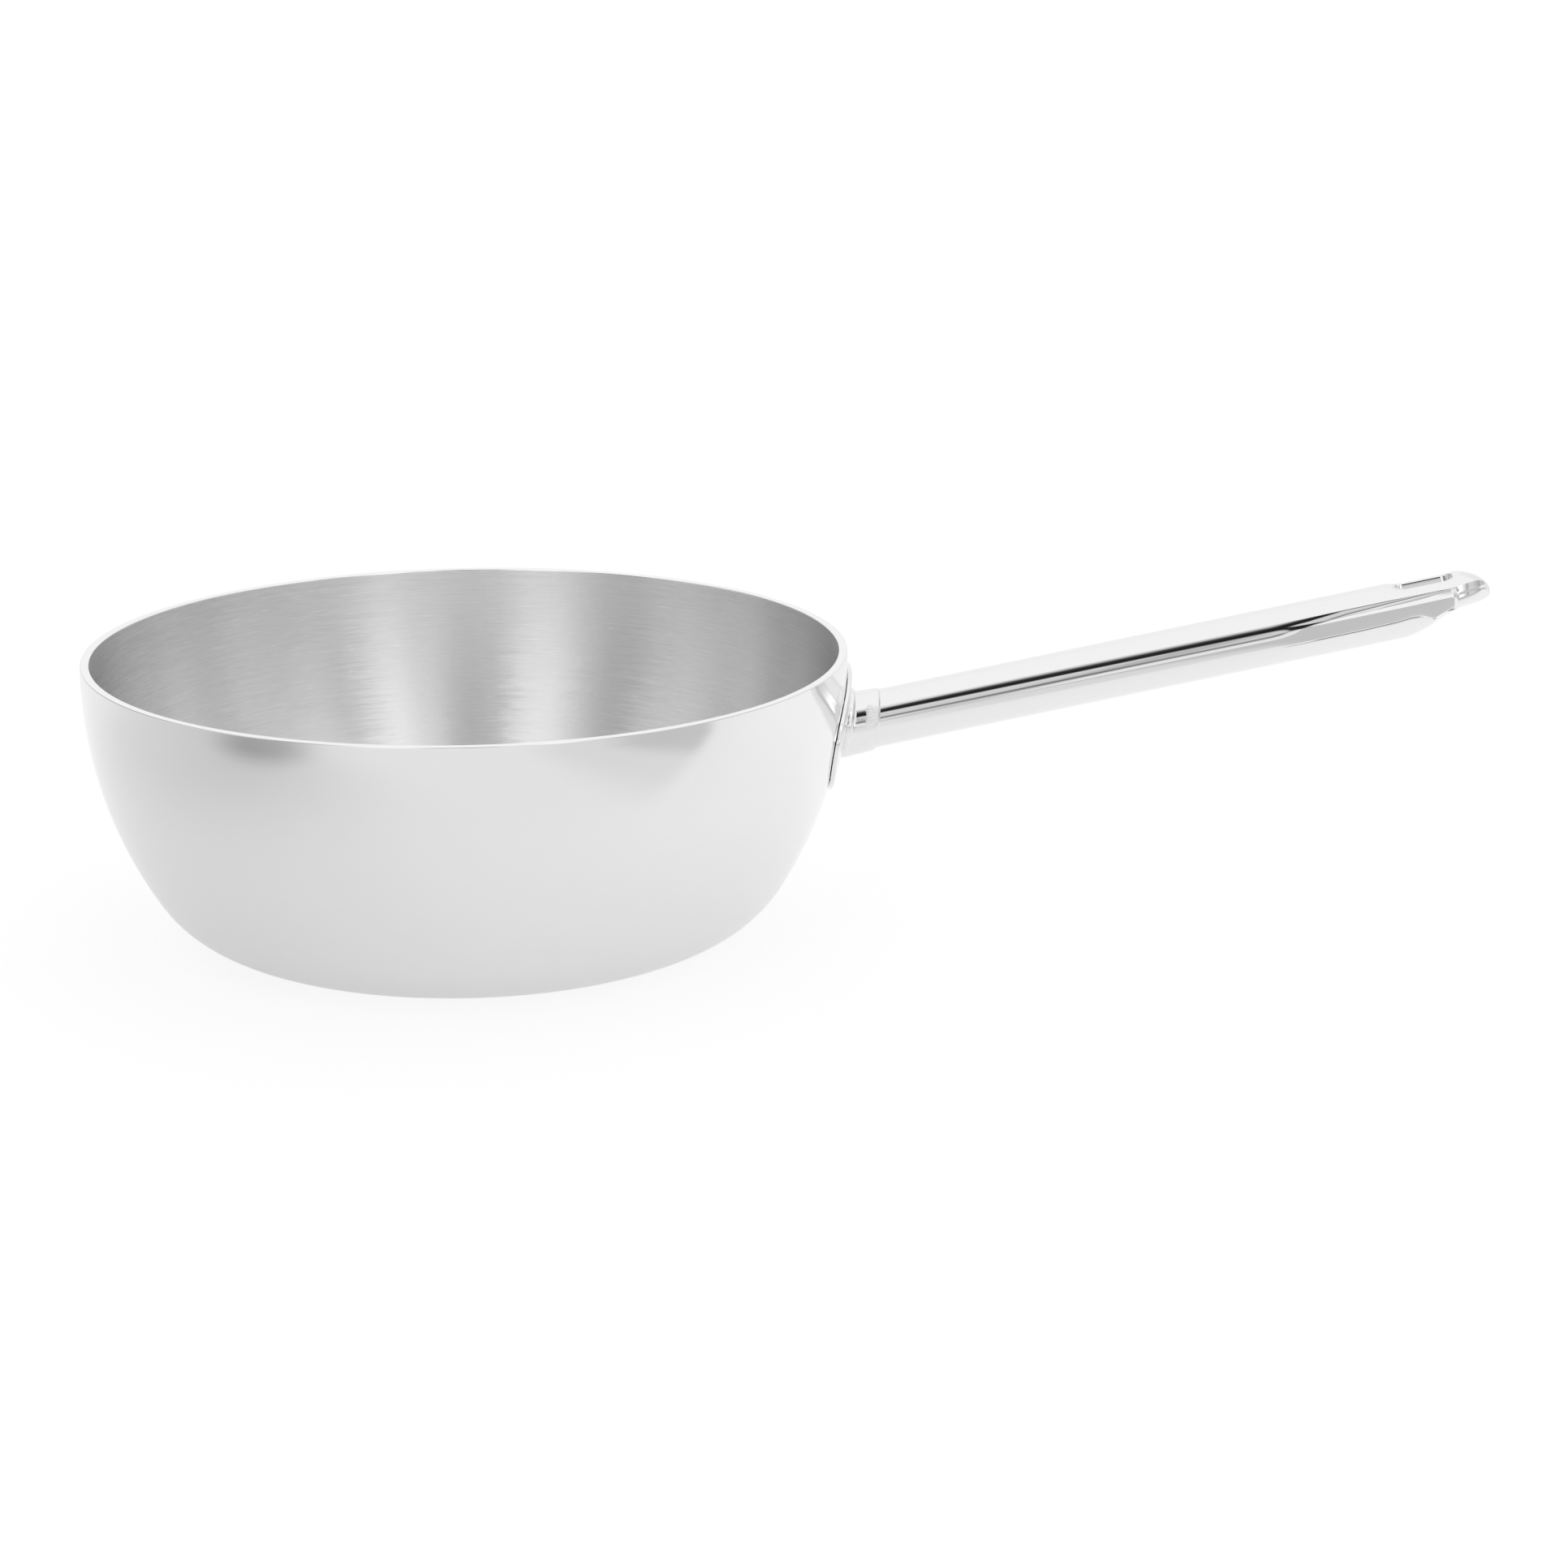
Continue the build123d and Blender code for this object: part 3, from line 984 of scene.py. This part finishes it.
def ramp(tree, value, stops):
    """Grey levels at chosen places, with straight lines between them."""
    node = add_node(tree, "ShaderNodeValToRGB")
    elements = node.color_ramp.elements
    while len(elements) > 1:
        elements.remove(elements[-1])
    for index, (place, grey) in enumerate(stops):
        element = elements[0] if index == 0 else elements.new(place)
        element.position = place
        element.color = (grey, grey, grey, 1)
    feed(tree, node.inputs["Fac"], value)
    return node.outputs["Color"]


def blend(tree, share, first, second):
    """Blend two numbers."""
    node = add_node(tree, "ShaderNodeMix", data_type="FLOAT")
    feed(tree, node.inputs[0], share)
    feed(tree, node.inputs[2], first)
    feed(tree, node.inputs[3], second)
    return node.outputs[0]


def noise(tree, place, scale, detail=2.0):
    node = add_node(tree, "ShaderNodeTexNoise")
    for name, value in (("Vector", place), ("Scale", scale), ("Detail", detail)):
        feed(tree, node.inputs[name], value)
    return node.outputs["Fac"]


def bump(tree, height, strength, depth, surface=None):
    """Press a pattern into the surface, or into one that another node has already changed."""
    node = add_node(tree, "ShaderNodeBump")
    for name, value in (("Strength", strength), ("Distance", depth), ("Height", height)):
        feed(tree, node.inputs[name], value)
    if surface is not None:
        feed(tree, node.inputs["Normal"], surface)
    return node.outputs["Normal"]


def grey_colour(tree, value):
    colour = add_node(tree, "ShaderNodeCombineColor")
    for channel in ("Red", "Green", "Blue"):
        feed(tree, colour.inputs[channel], value)
    return colour.outputs["Color"]


def new_group(name, inputs, outputs):
    group = bpy.data.node_groups.new(name, "ShaderNodeTree")
    for socket, kind in inputs:
        group.interface.new_socket(socket, in_out="INPUT", socket_type=kind)
    for socket, kind in outputs:
        group.interface.new_socket(socket, in_out="OUTPUT", socket_type=kind)
    start = group.nodes.new("NodeGroupInput")
    end = group.nodes.new("NodeGroupOutput")
    return group, start, end


def use_group(tree, group, **values):
    node = add_node(tree, "ShaderNodeGroup", node_tree=group)
    for name, value in values.items():
        feed(tree, node.inputs[name], value)
    return node.outputs


def new_metal(name, base, roughness):
    material = bpy.data.materials.new(name)
    material.use_nodes = True
    tree = material.node_tree
    shader = tree.nodes["Principled BSDF"]
    shader.inputs["Base Color"].default_value = (base, base, base, 1)
    shader.inputs["Roughness"].default_value = roughness
    shader.inputs["Metallic"].default_value = 1
    return material, tree, shader


def object_place(tree):
    return add_node(tree, "ShaderNodeTexCoord").outputs["Object"]


def dress(piece, material):
    piece.data.materials.clear()
    piece.data.materials.append(material)


# %% [markdown]
# A lathe leaves lines that run round the bowl. The streak group rolls the object's coordinates onto a
# cylinder: going round the bowl moves slowly through the noise, and going up the wall moves fast. So each
# blot of noise becomes a long thin streak, and the pattern closes on itself without a seam.

# %% The streak group
streaks, streaks_in, streaks_out = new_group(
    "turned_streaks",
    [("Place", "NodeSocketVector"), ("Around", "NodeSocketFloat"), ("Up", "NodeSocketFloat")],
    [("Streaks", "NodeSocketFloat")],
)
place_x, place_y, place_z = split(streaks, streaks_in.outputs["Place"])
level_place = joined(streaks, place_x, place_y)
reach = vector_calc(streaks, "LENGTH", level_place, output="Value")
turn_x, turn_y, _ = split(streaks, vector_calc(streaks, "NORMALIZE", level_place))
rolled_place = joined(
    streaks,
    calc(streaks, "MULTIPLY", turn_x, streaks_in.outputs["Around"]),
    calc(streaks, "MULTIPLY", turn_y, streaks_in.outputs["Around"]),
    calc(streaks, "MULTIPLY", calc(streaks, "ADD", place_z, reach), streaks_in.outputs["Up"]),
)
feed(streaks, streaks_out.inputs["Streaks"], noise(streaks, rolled_place, 1.0, 3.0))
print("group:", streaks.name)

# %% [markdown]
# No polish is perfectly even. The polish group gives a faint unevenness to the roughness and a very shallow
# waviness to the surface, which makes the long reflections waver a little, as they do on real pressed steel.

# %% The polish group
polish, polish_in, polish_out = new_group(
    "uneven_polish",
    [("Place", "NodeSocketVector"), ("Roughness", "NodeSocketFloat"), ("Variation", "NodeSocketFloat")],
    [("Roughness", "NodeSocketFloat"), ("Waviness", "NodeSocketFloat")],
)
cloudy = calc(polish, "SUBTRACT", noise(polish, polish_in.outputs["Place"], 90.0, 3.0), 0.5)
shift = calc(polish, "MULTIPLY", cloudy, polish_in.outputs["Variation"])
uneven = calc(polish, "ADD", polish_in.outputs["Roughness"], shift, clamp=True)
feed(polish, polish_out.inputs["Roughness"], uneven)
feed(polish, polish_out.inputs["Waviness"], noise(polish, polish_in.outputs["Place"], 28.0, 1.0))
print("group:", polish.name)

# %% [markdown]
# The handle, the neck and the plate are mirror-polished. Where the weld was ground away beside the seam, the
# neck keeps fine specks: a clear patch on the side towards the camera, and a faint trace in the rest of a
# narrow band. They are a bump of fine noise, faded by the distance from the seam and from the patch.

# %% Mirror polish
stipple_width = 4.2 * mm
stipple_full_width = 2.31 * mm
stipple_middle = beside_handle(9.2 * mm, 4.4 * mm, -8.9 * mm)
stipple_reach = 4.6 * mm
stipple_core = 2.2 * mm
stipple_trace = 0.06
seam_out = outward_frame(handle_rise - seam_tilt)[2]


def stipple(tree, place):
    """Height of the specks."""
    off_seam = vector_calc(tree, "SUBTRACT", place, tuple(root + along_out * neck_length))
    before_seam = vector_calc(tree, "DOT_PRODUCT", off_seam, tuple(seam_out), output="Value")
    band = ranged(tree, before_seam, -stipple_width, -stipple_full_width)
    off_patch = vector_calc(tree, "DISTANCE", place, tuple(stipple_middle), output="Value")
    patch = ranged(tree, off_patch, stipple_reach, stipple_core, stipple_trace, 1.0)
    specks = ranged(tree, noise(tree, place, 2300.0, 1.0), 0.25, 0.75)
    return calc(tree, "MULTIPLY", calc(tree, "MULTIPLY", band, patch), specks)


def mirror_steel(name, stippled=False):
    material, tree, shader = new_metal(name, base=0.87, roughness=0.03)
    place = object_place(tree)
    finish = use_group(tree, polish, Place=place, Roughness=0.035, Variation=0.03)
    feed(tree, shader.inputs["Roughness"], finish["Roughness"])
    surface = bump(tree, finish["Waviness"], strength=0.25, depth=0.08 * mm)
    if stippled:
        surface = bump(tree, stipple(tree, place), strength=0.9, depth=0.22 * mm, surface=surface)
    feed(tree, shader.inputs["Normal"], surface)
    return material


mirror = mirror_steel("mirror_polish")
for piece in (wall_plate, handle_tube, eyelet):
    dress(piece, mirror)
dress(neck, mirror_steel("ground_neck", stippled=True))


# %% Weld steel
def weld_steel():
    material, tree, shader = new_metal("polished_weld", base=0.85, roughness=0.12)
    place = object_place(tree)
    finish = use_group(tree, polish, Place=place, Roughness=0.12, Variation=0.15)
    feed(tree, shader.inputs["Roughness"], finish["Roughness"])
    grain = bump(tree, noise(tree, place, 900.0), strength=0.5, depth=0.1 * mm)
    feed(tree, shader.inputs["Normal"], grain)
    return material


weld = weld_steel()
dress(seam_weld, weld)

# %% [markdown]
# The rim's flat ring is polished brighter than the walls on both of its sides, so both finishes of the bowl
# change to it in the last few tenths of a millimetre of height. Below it, the outside is satin: fairly
# smooth, with turned lines so fine that they only soften the reflections.

# %% Satin outside
rim_band_start = bowl_height - 0.5 * mm
rim_band_end = bowl_height - 0.2 * mm


def rim_share(tree, place):
    return ranged(tree, split(tree, place)[2], rim_band_start, rim_band_end)


def satin_steel():
    material, tree, shader = new_metal("satin_outside", base=0.87, roughness=0.08)
    place = object_place(tree)
    lines = use_group(tree, streaks, Place=place, Around=9.0, Up=2200.0)["Streaks"]
    finish = use_group(tree, polish, Place=place, Roughness=0.07, Variation=0.03)
    lined = calc(tree, "MULTIPLY_ADD", lines, 0.04, finish["Roughness"])
    feed(tree, shader.inputs["Roughness"], blend(tree, rim_share(tree, place), lined, 0.07))
    grey = calc(tree, "MULTIPLY_ADD", lines, 0.02, 0.86)
    feed(tree, shader.inputs["Base Color"], grey_colour(tree, grey))
    feed(tree, shader.inputs["Normal"], bump(tree, lines, strength=0.15, depth=0.02 * mm))
    return material


dress(bowl_outside, satin_steel())

# %% [markdown]
# The inside was brushed while it turned. Across the brush lines the reflection smears widely, and along them
# it stays fairly sharp, which stretches every light into an upright band. The anisotropic setting does that.
# Each line also leans a little to the left or right, which frays the edges of the bands.

# %% Brushed inside
def leaning_normal(tree, lines, rim, tangent):
    """The surface's normal, leant by the lines to the left or right, but not on the rim."""
    lean = calc(tree, "MULTIPLY", calc(tree, "SUBTRACT", lines, 0.5), 0.16)
    lean = calc(tree, "MULTIPLY", lean, calc(tree, "SUBTRACT", 1.0, rim))
    scaled = add_node(tree, "ShaderNodeVectorMath", operation="SCALE")
    feed(tree, scaled.inputs[0], tangent)
    feed(tree, scaled.inputs["Scale"], lean)
    normal = add_node(tree, "ShaderNodeNewGeometry").outputs["Normal"]
    return vector_calc(tree, "NORMALIZE", vector_calc(tree, "ADD", normal, scaled.outputs[0]))


def brushed_steel():
    material, tree, shader = new_metal("brushed_inside", base=0.86, roughness=0.32)
    shader.inputs["Anisotropic"].default_value = 0.95
    shader.inputs["Anisotropic Rotation"].default_value = 0.25
    place = object_place(tree)
    rim = rim_share(tree, place)
    long_lines = use_group(tree, streaks, Place=place, Around=5.0, Up=1500.0)["Streaks"]
    short_lines = use_group(tree, streaks, Place=place, Around=22.0, Up=2600.0)["Streaks"]
    lines = blend(tree, 0.5, long_lines, short_lines)
    scratches = ranged(tree, short_lines, 0.66, 0.76)
    grey = calc(tree, "MULTIPLY_ADD", lines, 0.34, 0.69)
    grey = calc(tree, "MULTIPLY_ADD", scratches, 0.12, grey)
    feed(tree, shader.inputs["Base Color"], grey_colour(tree, blend(tree, rim, grey, 0.9)))
    lined = calc(tree, "MULTIPLY_ADD", lines, 0.12, 0.26)
    feed(tree, shader.inputs["Roughness"], blend(tree, rim, lined, 0.08))
    tangent = add_node(tree, "ShaderNodeTangent", direction_type="RADIAL", axis="Z").outputs["Tangent"]
    feed(tree, shader.inputs["Tangent"], tangent)
    leant = leaning_normal(tree, lines, rim, tangent)
    feed(tree, shader.inputs["Normal"], bump(tree, lines, strength=0.35, depth=0.03 * mm, surface=leant))
    return material


dress(bowl_inside, brushed_steel())

# %% [markdown]
# The aluminium core and the welds behind the plate are covered, but a slot is never left bare: rolled
# aluminium gets a dull grain, and the hidden welds share the weld's finish.

# %% Hidden pieces
def rolled_aluminium():
    material, tree, shader = new_metal("rolled_aluminium", base=0.8, roughness=0.4)
    grain = noise(tree, object_place(tree), 700.0, 3.0)
    feed(tree, shader.inputs["Roughness"], calc(tree, "MULTIPLY_ADD", grain, 0.2, 0.3))
    return material


for node, material in (("heat_core", rolled_aluminium()), ("plate_spot_welds", weld), ("disc_weld", weld)):
    dress(bpy.data.objects[node], material)
print("materials:", sorted(material.name for material in bpy.data.materials if material.users))

# %% [markdown]
# Polished metal is photographed in a tent of soft light. The world below is that tent, painted by direction.
# A big white box hangs overhead and comes down behind the pan. The front shows, from the ground upwards, a
# pale level, a thin dark line, a mid-grey room and a dark gap under the box. Two upright strip lights stand
# left and right of the camera, and they are what draws the bright bands inside the bowl. The camera itself
# sees plain white. Each list below gives angles in degrees and a light level for each. The levels were listed
# and tuned on renders, guided by how light the photo's metal is where it looks in that direction.

# %% The studio's levels
front_levels = [
    (-180, 0.9), (-10, 0.8), (-5, 0.72), (6, 0.7), (9.5, 0.6), (12.5, 0.2), (15.5, 0.2), (18, 0.52),
    (24, 0.55), (31, 0.58), (33.5, 0.4), (35, 0.04), (37, 0.016), (41, 0.012), (47.5, 0.035), (51, 0.2),
    (54.5, 0.55), (58, 0.76), (61, 0.97), (64, 1.02), (180, 1.0),
]
side_levels = [(-180, 0.9), (-10, 0.8), (6, 0.7), (31, 0.62), (55, 0.8), (64, 1.02), (180, 1.0)]
around_levels = [
    (-180, 0.98), (-160, 0.95), (-138, 0.5), (-110, 0.45), (-85, 0.72), (-64, 0.86), (-57, 0.36),
    (-47, 0.36), (-42, 0.75), (-36, 1.15), (-28, 1.8), (-18, 1.75), (-12, 1.3), (-8, 1.28), (0.5, 1.25),
    (1.3, 0.92), (2.7, 0.92), (3.5, 1.28), (19, 1.28), (23, 1.55), (27, 2.0), (32, 2.0), (37, 1.45),
    (42, 1.15), (46, 0.85), (49, 0.6), (54, 1.05), (66, 1.02), (80, 0.75), (98, 0.55), (125, 0.85),
    (180, 0.98),
]
front_ends, side_starts = 9 / 360, 14 / 360
strips_full_under, strips_gone_over = sin(radians(38)), sin(radians(56))


def by_degrees(levels):
    """Turn degrees from -180 to 180 into places on a ramp, and halve the greys to fit it."""
    return [((angle + 180) / 360, grey / 2) for angle, grey in levels]


def turn_share(tree, rise_part, run_part):
    """Angle of a direction as a share of a full turn, with half a turn in the middle of the ramp."""
    return calc(tree, "MULTIPLY_ADD", calc(tree, "ARCTAN2", rise_part, run_part), 1 / (2 * pi), 0.5)


# %% The studio world
world = bpy.data.worlds.new("studio")
bpy.context.scene.world = world
world.use_nodes = True
sky = world.node_tree
look_x, look_y, look_z = split(sky, add_node(sky, "ShaderNodeTexCoord").outputs["Generated"])
towards = calc(sky, "MULTIPLY", look_y, -1.0)
upwards_share = turn_share(sky, look_z, towards)
around_share = turn_share(sky, look_x, towards)
front = ramp(sky, upwards_share, by_degrees(front_levels))
side = ramp(sky, upwards_share, by_degrees(side_levels))
off_middle = calc(sky, "ABSOLUTE", calc(sky, "SUBTRACT", around_share, 0.5))
tent = blend(sky, ranged(sky, off_middle, front_ends, side_starts), front, side)
strips = ramp(sky, around_share, by_degrees(around_levels))
low_down = ranged(sky, look_z, strips_full_under, strips_gone_over, 1.0, 0.0)
strip_factor = blend(sky, low_down, 1.0, calc(sky, "MULTIPLY", strips, 2.0))
brightness = calc(sky, "MULTIPLY", calc(sky, "MULTIPLY", tent, 2.0), strip_factor)
rays = add_node(sky, "ShaderNodeLightPath")
seen = blend(sky, rays.outputs["Is Camera Ray"], brightness, 1.0)
background = sky.nodes["Background"]
feed(sky, background.inputs["Color"], (1, 1, 1, 1))
feed(sky, background.inputs["Strength"], seen)
bpy.context.scene.view_settings.view_transform = "Standard"
print("studio painted by direction,", len(around_levels), "levels around")

# %% [markdown]
# The table is a sheet of white paper. To the camera most of its white is its own, so the backdrop is as white
# as the world behind it, and the rest is lit paper, which keeps the pan's soft shadow. The metal sees it as
# partly lit and partly glowing, because a real lamp fills in what the pan shades. Its grey is painted light
# and
# shade: painted light makes it lighter from front to back, and painted shade dims it far behind the pan,
# darkens the paper in front of the handle and lays two soft dark pools far out to the left.

# %% The table's painted light and shade
def painted_shade_pool(tree, place, middle, edge, core, depth):
    """A soft pool of painted shade round a place on the table."""
    off_middle = vector_calc(tree, "DISTANCE", place, middle, output="Value")
    return ranged(tree, off_middle, edge, core, 0.0, depth)


def painted_light_and_shade(tree):
    """The paper's grey of painted light and shade, as the metal sees it."""
    place = object_place(tree)
    rightwards, backwards, _ = split(tree, place)
    # Painted shade: the paper in front of the handle is darker, more so towards the tip.
    front_band_share = ranged(tree, backwards, -0.155, -0.195)
    painted_shade_by_grip = ranged(tree, rightwards, 0.12, 0.24, 0.0, 0.1)
    painted_shade_by_tip = ranged(tree, rightwards, 0.28, 0.36, 0.0, 0.18)
    painted_dark_band = calc(tree, "MULTIPLY", front_band_share, calc(tree, "ADD", painted_shade_by_grip, painted_shade_by_tip))
    # Painted shade: two soft dark pools far out to the left.
    wide_painted_shade = painted_shade_pool(tree, place, (-0.4, -0.1, 0), edge=0.45, core=0.1, depth=0.26)
    small_painted_shade = painted_shade_pool(tree, place, (-0.39, -0.31, 0), edge=0.17, core=0.04, depth=0.28)
    painted_shade_left = calc(tree, "ADD", wide_painted_shade, small_painted_shade)
    # Painted light: lighter from front to back, and painted shade dims it again far behind the pan.
    painted_light_front_to_back = ranged(tree, backwards, -0.3, 0.08, 0.91, 1.04)
    painted_dimming_far_back = ranged(tree, backwards, 0.15, 0.5, 0.0, 0.12)
    painted_tone = calc(tree, "SUBTRACT", painted_light_front_to_back, calc(tree, "MAXIMUM", painted_dark_band, painted_shade_left))
    return calc(tree, "SUBTRACT", painted_tone, painted_dimming_far_back)


# %% The table
table_size = 60
lit_share = 0.65
glow_share = 0.4
camera_glow = 1.06
camera_lit_share = 0.22


def matt(tree, colour):
    node = add_node(tree, "ShaderNodeBsdfDiffuse")
    feed(tree, node.inputs["Color"], colour)
    return node.outputs[0]


def glow(tree, strength):
    node = add_node(tree, "ShaderNodeEmission")
    feed(tree, node.inputs["Strength"], strength)
    return node.outputs[0]


def two_shaders(tree, kind, first, second, share=None):
    """Add or mix two shaders, whose sockets are the last two."""
    node = add_node(tree, kind)
    feed(tree, node.inputs[-2], first)
    feed(tree, node.inputs[-1], second)
    if share is not None:
        feed(tree, node.inputs["Fac"], share)
    return node.outputs[0]


let_go()
bpy.ops.mesh.primitive_plane_add(size=table_size)
floor = bpy.context.object
floor.name = "floor"
paper = bpy.data.materials.new("paper")
paper.use_nodes = True
sheet = paper.node_tree
sheet.nodes.remove(sheet.nodes["Principled BSDF"])
# The painted light and shade colour both the lit and the glowing paper.
painted_tone = painted_light_and_shade(sheet)
lit_paper = matt(sheet, grey_colour(sheet, calc(sheet, "MULTIPLY", painted_tone, lit_share)))
glowing_paper = glow(sheet, calc(sheet, "MULTIPLY", painted_tone, glow_share))
for_metal = two_shaders(sheet, "ShaderNodeAddShader", lit_paper, glowing_paper)
white = (1, 1, 1, 1)
for_camera = two_shaders(
    sheet, "ShaderNodeMixShader", glow(sheet, camera_glow), matt(sheet, white), camera_lit_share
)
camera_ray = add_node(sheet, "ShaderNodeLightPath").outputs["Is Camera Ray"]
seen_paper = two_shaders(sheet, "ShaderNodeMixShader", for_metal, for_camera, camera_ray)
feed(sheet, sheet.nodes["Material Output"].inputs["Surface"], seen_paper)
dress(floor, paper)
